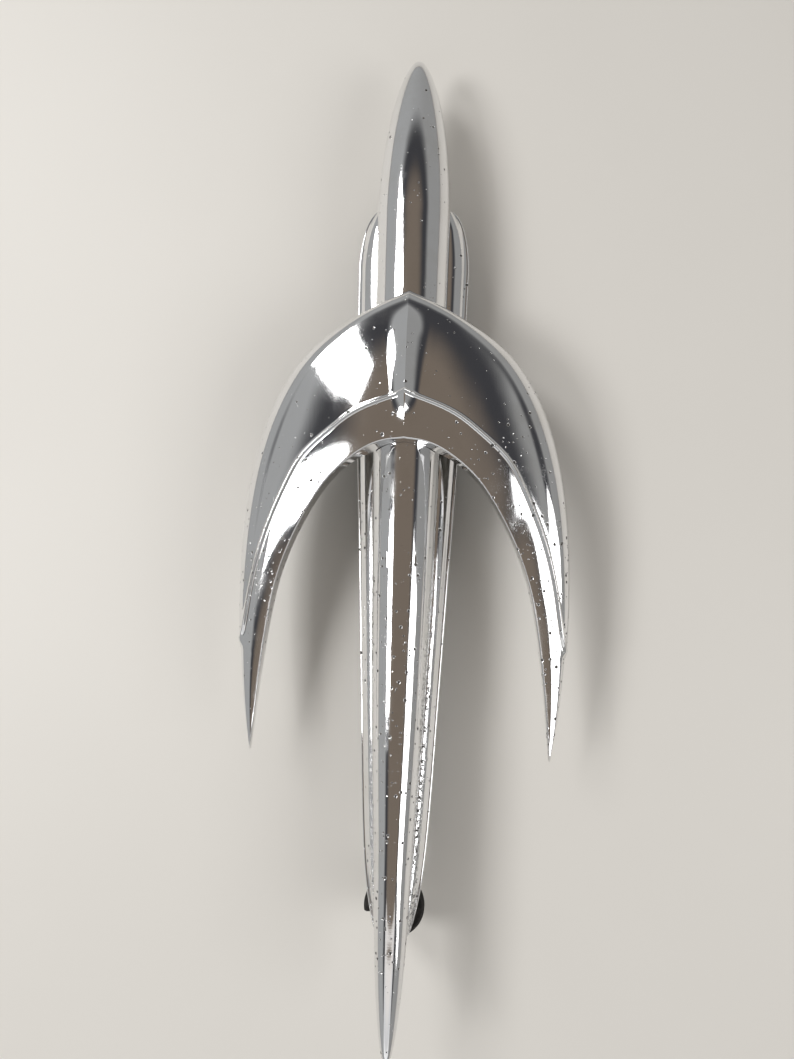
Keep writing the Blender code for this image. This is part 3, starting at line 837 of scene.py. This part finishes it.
def nut_piece(place, y, steel):
    """A hexagon nut whose corners are chamfered where a cone trims both its faces."""
    low, high = span(f"{place}_nut")
    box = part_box(f"{place}_nut")
    corner_on_x = box[1].x - box[0].x > box[1].y - box[0].y
    start = 0.0 if corner_on_x else math.pi / 6
    levels = [high - d for d in NUT_CORNER_DEPTHS] + [low + d for d in reversed(NUT_CORNER_DEPTHS)]
    flared = NUT_BORE_R + NUT_BORE_CHAMFER
    rings = []
    for i in range(120):
        a = 2 * math.pi * i / 120
        flat = NUT_ACROSS / 2 / math.cos((a - start) % (math.pi / 3) - math.pi / 6)
        section = [(NUT_BORE_R, high - NUT_BORE_CHAMFER), (flared, high)]
        for z in levels:
            cone = NUT_ACROSS / 2 * NUT_CONE_SHARE + NUT_CONE_SLOPE * min(high - z, z - low)
            section.append((min(flat, cone), z))
        section += [(flared, low), (NUT_BORE_R, low + NUT_BORE_CHAMFER)]
        rings.append([(r * math.cos(a), y + r * math.sin(a), z) for r, z in section])
    nut = tube_loop(f"nut_{place}", rings)
    return fit(nut, f"{place}_nut", f"{place}_nut", steel, 25)


def rubber_piece(place, y, rubber):
    """A moulded rubber washer: bevelled, grooved round its rim, with fine rings on its faces."""
    low, high = span(f"{place}_rubber_washer")
    thick = high - low
    face = np.linspace(WASHER_HOLE_R + 0.3, RUBBER_R - 1.5, 44)
    ripple = RUBBER_RIPPLE * (1 + np.cos(2 * math.pi * face / RIPPLE_PITCH))
    section = [(WASHER_HOLE_R, high - 0.3)]
    section += [(r, high - d) for r, d in zip(face, ripple)]
    section += [(RUBBER_R - inset, high - share * thick) for inset, share in RUBBER_SHOULDER]
    for k in range(9):
        f = k / 8
        dip = RIM_GROOVE * math.sin(math.pi * f) ** 2
        section.append((RUBBER_R - dip, high - (RIM_GROOVE_TOP + RIM_GROOVE_SPAN * f) * thick))
    section += [(RUBBER_R - inset, high - share * thick) for inset, share in RUBBER_FOOT]
    section += [(r, low + d) for r, d in zip(face[::-1], ripple[::-1])]
    section.append((WASHER_HOLE_R, low + 0.3))
    washer = turned(f"rubber_{place}", section, y, 128)
    if place == "rear":
        half = TRIM_CUTTER / 2
        x, yy = TRIM_X, y + TRIM_PAST_STUD
        square = [(x - half, yy - half), (x + half, yy - half), (x + half, yy + half), (x - half, yy + half)]
        cutter = loft("trim", [[(a, b, z) for a, b in square] for z in (low - 1, high + 1)])
        combine(washer, [("DIFFERENCE", cutter)])
    return fit(washer, f"{place}_rubber_washer", "ornament", rubber)


def screw_piece(place, y, steel):
    """A pan-head screw with a slot in its head and a thread up into the wing."""
    low, high = span(f"{place}_wing_screw")
    angles = [2 * math.pi * i / 48 for i in range(48)]
    rings = [[(0, y, low)]]
    for r, z in SCREW_CROWN:
        rings.append([(r * math.cos(a), y + r * math.sin(a), low + z) for a in angles])
    root = low + SCREW_HEAD + 0.05
    rings += thread_rings(SCREW_R, SCREW_THREAD, SCREW_PITCH, root, high, y, 0.5)[3:]
    screw = loft(f"screw_{place}", rings)
    half = SCREW_SLOT_HALF
    slot = [(-6, -half), (6, -half), (6, half), (-6, half)]
    levels = (low - 1, low + SCREW_SLOT_DEPTH)
    cutter = loft("slot", [[(a, y + b, z) for a, b in slot] for z in levels])
    combine(screw, [("DIFFERENCE", cutter)])
    return fit(screw, f"{place}_wing_screw", "ornament", steel, 38)


def screw_washer_piece(place, y, steel):
    low, high = span(f"{place}_screw_washer")
    hole = SCREW_R + GAP
    washer = split_washer(f"ring_{place}", hole, SCREW_WASHER_R, low, high, y, SCREW_SPRING)
    return fit(washer, f"{place}_screw_washer", "ornament", steel)


def gasket_piece(rubber):
    """A rubber band that follows the flange's outline, with rounded edges."""
    low, high = span("base_gasket")
    right = [(base_half(y), y) for y in base_lengths(0.6)]
    outline = np.array([*right, *[(-x, y) for x, y in reversed(right)]])
    run = np.concatenate([outline, outline[:1]])
    length = np.concatenate([[0], np.cumsum(np.linalg.norm(np.diff(run, axis=0), axis=1))])
    at = np.linspace(0, length[-1], 600, endpoint=False)
    line = np.stack([np.interp(at, length, run[:, k]) for k in range(2)], 1)
    along_line = np.roll(line, -3, axis=0) - np.roll(line, 3, axis=0)
    along_line /= np.linalg.norm(along_line, axis=1)[:, None]
    inward = np.stack([-along_line[:, 1], along_line[:, 0]], 1)
    near, far, edge, cut = GASKET_INSET, GASKET_INSET + GASKET_WIDTH, GASKET_EDGE, GASKET_CORNER
    section = [(near, low + edge), (near + cut, low + cut), (near + edge, low),
               (far - edge, low), (far - cut, low + cut), (far, low + edge),
               (far, high - edge), (far - cut, high - cut), (far - edge, high),
               (near + edge, high), (near + cut, high - cut), (near, high - edge)]
    rings = [[(*(point + way * depth), z) for depth, z in section]
             for point, way in zip(line, inward)]
    gasket = tube_loop("gasket", rings)
    return fit(gasket, "base_gasket", "ornament", rubber)


# ---------------------------------------------------------------- materials


def nodes_of(name):
    mat = bpy.data.materials.new(name)
    mat.use_nodes = True
    return mat, mat.node_tree


class Graph:
    """Short ways to add the nodes that the materials share."""

    def __init__(self, tree):
        self.tree = tree

    def node(self, kind, **inputs):
        made = self.tree.nodes.new(kind)
        for key, value in inputs.items():
            self.put(made.inputs[key.replace("_", " ")], value)
        return made

    def put(self, socket, value):
        if isinstance(value, bpy.types.NodeSocket):
            self.tree.links.new(value, socket)
        else:
            socket.default_value = value

    def math(self, operation, a, b=0.0, c=0.0):
        made = self.tree.nodes.new("ShaderNodeMath")
        made.operation = operation
        for socket, value in zip(made.inputs, (a, b, c)):
            self.put(socket, value)
        return made.outputs[0]

    def ramp(self, value, low, high, to_low=0.0, to_high=1.0):
        made = self.tree.nodes.new("ShaderNodeMapRange")
        made.interpolation_type = "SMOOTHSTEP"
        for key, v in (("Value", value), ("From Min", low), ("From Max", high),
                       ("To Min", to_low), ("To Max", to_high)):
            self.put(made.inputs[key], v)
        return made.outputs["Result"]

    def mix(self, factor, a, b):
        made = self.tree.nodes.new("ShaderNodeMix")
        made.data_type = "RGBA"
        self.put(made.inputs["Factor"], factor)
        self.put(made.inputs["A"], a)
        self.put(made.inputs["B"], b)
        return made.outputs["Result"]

    def millimetres(self):
        """Where a point of the part is, in mm, in the part's own frame."""
        return self.stretch(self.node("ShaderNodeTexCoord").outputs["Object"], (1000, 1000, 1000))

    def noise(self, vector, scale, detail=3.0, rough=0.5):
        made = self.node("ShaderNodeTexNoise", Vector=vector, Scale=scale, Detail=detail)
        made.inputs["Roughness"].default_value = rough
        return made.outputs["Fac"]

    def stretch(self, vector, scale, turn=0.0):
        made = self.tree.nodes.new("ShaderNodeMapping")
        self.put(made.inputs["Vector"], vector)
        made.inputs["Scale"].default_value = scale
        made.inputs["Rotation"].default_value = (0, 0, turn)
        return made.outputs["Vector"]

    def bump(self, height, distance, strength=1.0, normal=None):
        made = self.node("ShaderNodeBump", Height=height, Distance=distance, Strength=strength)
        if normal is not None:
            self.put(made.inputs["Normal"], normal)
        return made.outputs["Normal"]

    def spots(self, vector, spacing, radius, share):
        """Round spots of varied size: 1 at a spot's middle, on that share of the cells."""
        cells = self.tree.nodes.new("ShaderNodeTexVoronoi")
        self.put(cells.inputs["Vector"], vector)
        cells.inputs["Scale"].default_value = 1 / spacing
        split = self.node("ShaderNodeSeparateColor", Color=cells.outputs["Color"])
        size = self.ramp(split.outputs["Red"], 0, 1, radius * 0.35, radius)
        away = self.math("MULTIPLY", cells.outputs["Distance"], spacing)
        filled = self.ramp(self.math("DIVIDE", away, size), 0.55, 1.0, 1.0, 0.0)
        chosen = self.math("LESS_THAN", split.outputs["Green"], share)
        return self.math("MULTIPLY", filled, chosen)


def chrome_material():
    """Old chrome plate: bright, scratched and hazy; pits gather aft, corrosion beside the groove."""
    mat, tree = nodes_of("aged_chrome")
    g = Graph(tree)
    mm = g.millimetres()
    axes = g.node("ShaderNodeSeparateXYZ", Vector=mm)
    x, y = axes.outputs["X"], axes.outputs["Y"]

    # Pits and dust, denser aft and on the -X blade, in patches
    aft = g.ramp(y, -60, 10, 0.25, 1.0)
    minus_x = g.ramp(x, -70, -30, 0.5, 0.0)
    patchy = g.ramp(g.noise(mm, 0.045), 0.42, 0.62)
    density = g.math("MULTIPLY", g.math("ADD", aft, minus_x), g.math("ADD", patchy, 0.25))
    fine = g.spots(mm, 1.8, 0.42, g.math("MULTIPLY", density, 0.9))
    coarse = g.spots(mm, 2.8, 0.8, g.math("MULTIPLY", density, 0.9))
    dust = g.spots(mm, 1.2, 0.17, g.math("MULTIPLY", density, 0.22))

    # Plate eaten away in a line beside the body, aft, most of it on the -X side
    line = g.math("MULTIPLY_ADD", y, CORROSION_NARROWS, CORROSION_HALF)
    away = g.math("ABSOLUTE", g.math("SUBTRACT", g.math("ABSOLUTE", x), line))
    beside = g.ramp(away, 0.4, 1.7, 1.0, 0.0)
    beside = g.math("MULTIPLY", beside, g.ramp(x, -4, 4, 1.0, 0.3))
    beside = g.math("MULTIPLY", beside, g.ramp(y, -10, 50))
    eaten = g.math("MULTIPLY", beside, g.ramp(g.noise(mm, 0.8, 5, 0.7), 0.5, 0.6))
    pits = g.math("MAXIMUM", g.math("MAXIMUM", fine, coarse), eaten)

    # Haze and fine scratches in two directions
    haze = g.ramp(g.noise(mm, 0.06, 5, 0.6), 0.45, 0.75)
    hairlines = g.noise(g.stretch(mm, (2.4, 0.05, 2.4), 0.35), 1.0, 2)
    swirls = g.noise(g.stretch(mm, (0.07, 2.2, 2.2), -0.5), 1.0, 2)
    clean = g.mix(haze, (0.85, 0.85, 0.855, 1), (0.80, 0.795, 0.785, 1))
    color = g.mix(g.math("MULTIPLY", pits, 0.93), clean, (0.045, 0.038, 0.032, 1))

    shader = tree.nodes["Principled BSDF"]
    shader.inputs["Metallic"].default_value = 1.0
    g.put(shader.inputs["Base Color"], color)
    rough = g.math("ADD", g.ramp(haze, 0, 1, 0.045, 0.11), g.math("MULTIPLY", hairlines, 0.035))
    rough = g.math("ADD", rough, g.math("MULTIPLY", pits, 0.5))
    g.put(shader.inputs["Roughness"], g.math("ADD", rough, g.math("MULTIPLY", dust, 0.3)))
    normal = g.bump(g.noise(mm, 0.075, 1), 0.00012, 0.5)
    normal = g.bump(g.math("ADD", hairlines, swirls), 0.000004, 0.6, normal)
    sunk = g.math("MULTIPLY", g.math("MAXIMUM", pits, dust), -1.0)
    g.put(shader.inputs["Normal"], g.bump(sunk, 0.00018, 0.9, normal))
    return mat


def casting_material():
    """The unplated inside of a zinc casting: dull grey, granular, with pale bloom and dark stains."""
    mat, tree = nodes_of("raw_casting")
    g = Graph(tree)
    mm = g.millimetres()
    stain = g.ramp(g.noise(mm, 0.09, 5, 0.65), 0.4, 0.65)
    bloom = g.ramp(g.noise(mm, 0.3, 5, 0.7), 0.55, 0.75)
    grain = g.noise(mm, 2.2, 5, 0.65)
    color = g.mix(stain, (0.30, 0.295, 0.285, 1), (0.15, 0.14, 0.125, 1))
    color = g.mix(g.math("MULTIPLY", bloom, 0.6), color, (0.46, 0.455, 0.44, 1))
    shader = tree.nodes["Principled BSDF"]
    g.put(shader.inputs["Base Color"], color)
    g.put(shader.inputs["Metallic"], g.math("SUBTRACT", 0.85, g.math("MULTIPLY", bloom, 0.5)))
    g.put(shader.inputs["Roughness"], g.ramp(grain, 0.3, 0.7, 0.45, 0.65))
    g.put(shader.inputs["Normal"], g.bump(grain, 0.00012, 0.7))
    return mat


def steel_material(name, bright, dull, rust_share):
    """Zinc-plated steel that has gone dull, with white bloom and a little rust."""
    mat, tree = nodes_of(name)
    g = Graph(tree)
    mm = g.millimetres()
    bloom = g.ramp(g.noise(mm, 0.5, 5, 0.65), 0.42, 0.66)
    rust = g.ramp(g.noise(mm, 0.32, 6, 0.7), 0.72 - rust_share, 0.8 - rust_share)
    grain = g.noise(mm, 7.0, 4)
    color = g.mix(bloom, bright, dull)
    shader = tree.nodes["Principled BSDF"]
    g.put(shader.inputs["Base Color"], g.mix(rust, color, (0.16, 0.065, 0.028, 1)))
    g.put(shader.inputs["Metallic"], g.math("SUBTRACT", 1.0, g.math("MULTIPLY", rust, 0.85)))
    rough = g.math("ADD", g.ramp(bloom, 0, 1, 0.24, 0.42), g.math("MULTIPLY", rust, 0.4))
    g.put(shader.inputs["Roughness"], g.math("ADD", rough, g.math("MULTIPLY", grain, 0.08)))
    height = g.math("ADD", grain, g.math("MULTIPLY", rust, 1.2))
    g.put(shader.inputs["Normal"], g.bump(height, 0.00004, 0.7))
    return mat


def rubber_material():
    """Aged black rubber: matte, faintly brown, dusty and finely grained."""
    mat, tree = nodes_of("aged_rubber")
    g = Graph(tree)
    mm = g.millimetres()
    dust = g.ramp(g.noise(mm, 0.35, 5, 0.6), 0.5, 0.8)
    grain = g.noise(mm, 4.5, 5, 0.7)
    shader = tree.nodes["Principled BSDF"]
    g.put(shader.inputs["Base Color"], g.mix(dust, (0.014, 0.0125, 0.0115, 1), (0.055, 0.049, 0.043, 1)))
    g.put(shader.inputs["Roughness"], g.ramp(grain, 0.3, 0.7, 0.6, 0.85))
    shader.inputs["Specular IOR Level"].default_value = 0.35
    g.put(shader.inputs["Normal"], g.bump(grain, 0.00006, 0.6))
    return mat


# ---------------------------------------------------------------- camera, light and floor

# Lengths here are in m, angles in degrees, and the lens and its sensor in mm
CAMERA_DISTANCE = 0.352
CAMERA_PITCH = 4.8
CAMERA_ROLL = 3.8
CAMERA_SPIN = 1.9
CAMERA_TARGET = (0.0026, -0.0125, 0.015)
CAMERA_LENS = 30
FLOOR_HALF = 5.0


def set_camera():
    """A wide lens almost right above the part, with the nose up in the picture."""
    pitch, roll, spin = (math.radians(a) for a in (CAMERA_PITCH, CAMERA_ROLL, CAMERA_SPIN))
    back = Vector((-math.sin(roll), math.sin(pitch) * math.cos(roll),
                   math.cos(pitch) * math.cos(roll))).normalized()
    up = Vector((0, -1, 0))
    up = (up - back * up.dot(back)).normalized()
    right = (-back).cross(up)
    turned_up = up * math.cos(spin) - right * math.sin(spin)
    turned_right = right * math.cos(spin) + up * math.sin(spin)
    data = bpy.data.cameras.new("camera")
    data.lens = CAMERA_LENS
    data.sensor_width = 36
    data.clip_start = 0.01
    camera = bpy.data.objects.new("camera", data)
    bpy.context.scene.collection.objects.link(camera)
    turn = Matrix((turned_right, turned_up, back)).transposed()
    place = Vector(CAMERA_TARGET) + back * CAMERA_DISTANCE
    camera.matrix_world = Matrix.Translation(place) @ turn.to_4x4()
    bpy.context.scene.camera = camera


def floor_piece():
    """A pale table top, tilted so that the ornament rests on its front and rear studs."""
    front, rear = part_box("front_stud")[0].z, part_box("rear_stud")[0].z
    slope = (rear - front) / ((STUD_Y["rear"] - STUD_Y["front"]) * MM)
    half = FLOOR_HALF
    corners = []
    for x, y in ((-half, -half), (half, -half), (half, half), (-half, half)):
        corners.append((x / MM, y / MM, (front + (y - STUD_Y["front"] * MM) * slope) / MM - FLOOR_GAP))
    floor = mesh_object("floor", corners, [(0, 1, 2, 3)])
    mat, tree = nodes_of("table_top")
    g = Graph(tree)
    place = g.node("ShaderNodeTexCoord").outputs["Object"]
    shader = tree.nodes["Principled BSDF"]
    color = g.mix(g.noise(place, 9.0, 4), (0.70, 0.675, 0.63, 1), (0.73, 0.705, 0.66, 1))
    g.put(shader.inputs["Base Color"], color)
    shader.inputs["Roughness"].default_value = 0.5
    floor.data.materials.append(mat)


def softbox(name, place, size, power):
    """A soft rectangular light at place, in m, that faces the part."""
    data = bpy.data.lights.new(name, "AREA")
    data.shape = "RECTANGLE"
    data.size, data.size_y = size
    data.energy = power
    light = bpy.data.objects.new(name, data)
    bpy.context.scene.collection.objects.link(light)
    light.location = place
    light.rotation_mode = "QUATERNION"
    light.rotation_quaternion = (-Vector(place)).to_track_quat("-Z", "Y")


def room():
    """A plain room, the same all round but for a lighter wall on the key's side.

    Grey walls, a dark band above them and a warm ceiling give the chrome its light and dark reflections.
    """
    world = bpy.data.worlds.new("room")
    bpy.context.scene.world = world
    world.use_nodes = True
    g = Graph(world.node_tree)
    axes = g.node("ShaderNodeSeparateXYZ", Vector=g.node("ShaderNodeTexCoord").outputs["Generated"])
    across, up = axes.outputs["X"], axes.outputs["Z"]
    color = g.mix(g.ramp(across, -0.5, 0.5), (0.30, 0.30, 0.295, 1), (0.38, 0.385, 0.385, 1))
    color = g.mix(g.ramp(up, 0.6, 0.75), color, (0.05, 0.05, 0.055, 1))
    color = g.mix(g.ramp(up, 0.78, 0.9), color, (0.19, 0.155, 0.125, 1))
    g.put(world.node_tree.nodes["Background"].inputs["Color"], color)


def set_light():
    """Plain soft studio light: a key of two panes on the +X side, a weaker fill and a rear light."""
    softbox("key_front", (0.7, -0.6, 1.0), (0.35, 0.5), 6)
    softbox("key_rear", (0.8, 0.1, 1.0), (0.35, 0.35), 6)
    softbox("fill", (-0.9, 0.3, 0.8), (0.6, 0.6), 4)
    softbox("rear", (0.0, 0.9, 0.9), (1.2, 0.8), 2)
    room()
    bpy.context.scene.view_settings.view_transform = "Standard"


# ---------------------------------------------------------------- build

set_camera()
floor_piece()
set_light()
FINISHES = (chrome_material(), casting_material())
STUD_STEEL = steel_material("stud_steel", (0.42, 0.40, 0.36, 1), (0.30, 0.28, 0.25, 1), 0.10)
PLATED = steel_material("plated_steel", (0.60, 0.58, 0.53, 1), (0.44, 0.43, 0.41, 1), 0.03)
RUBBER = rubber_material()
body_piece(FINISHES)
wing_piece(FINISHES)
gasket_piece(RUBBER)
for PLACE, Y in STUD_Y.items():
    stud_piece(PLACE, Y, STUD_STEEL)
    rubber_piece(PLACE, Y, RUBBER)
    flat_washer_piece(PLACE, Y, PLATED)
    lock_washer_piece(PLACE, Y, PLATED)
    nut_piece(PLACE, Y, PLATED)
for PLACE, Y in SCREW_Y.items():
    screw_piece(PLACE, Y, PLATED)
    screw_washer_piece(PLACE, Y, PLATED)
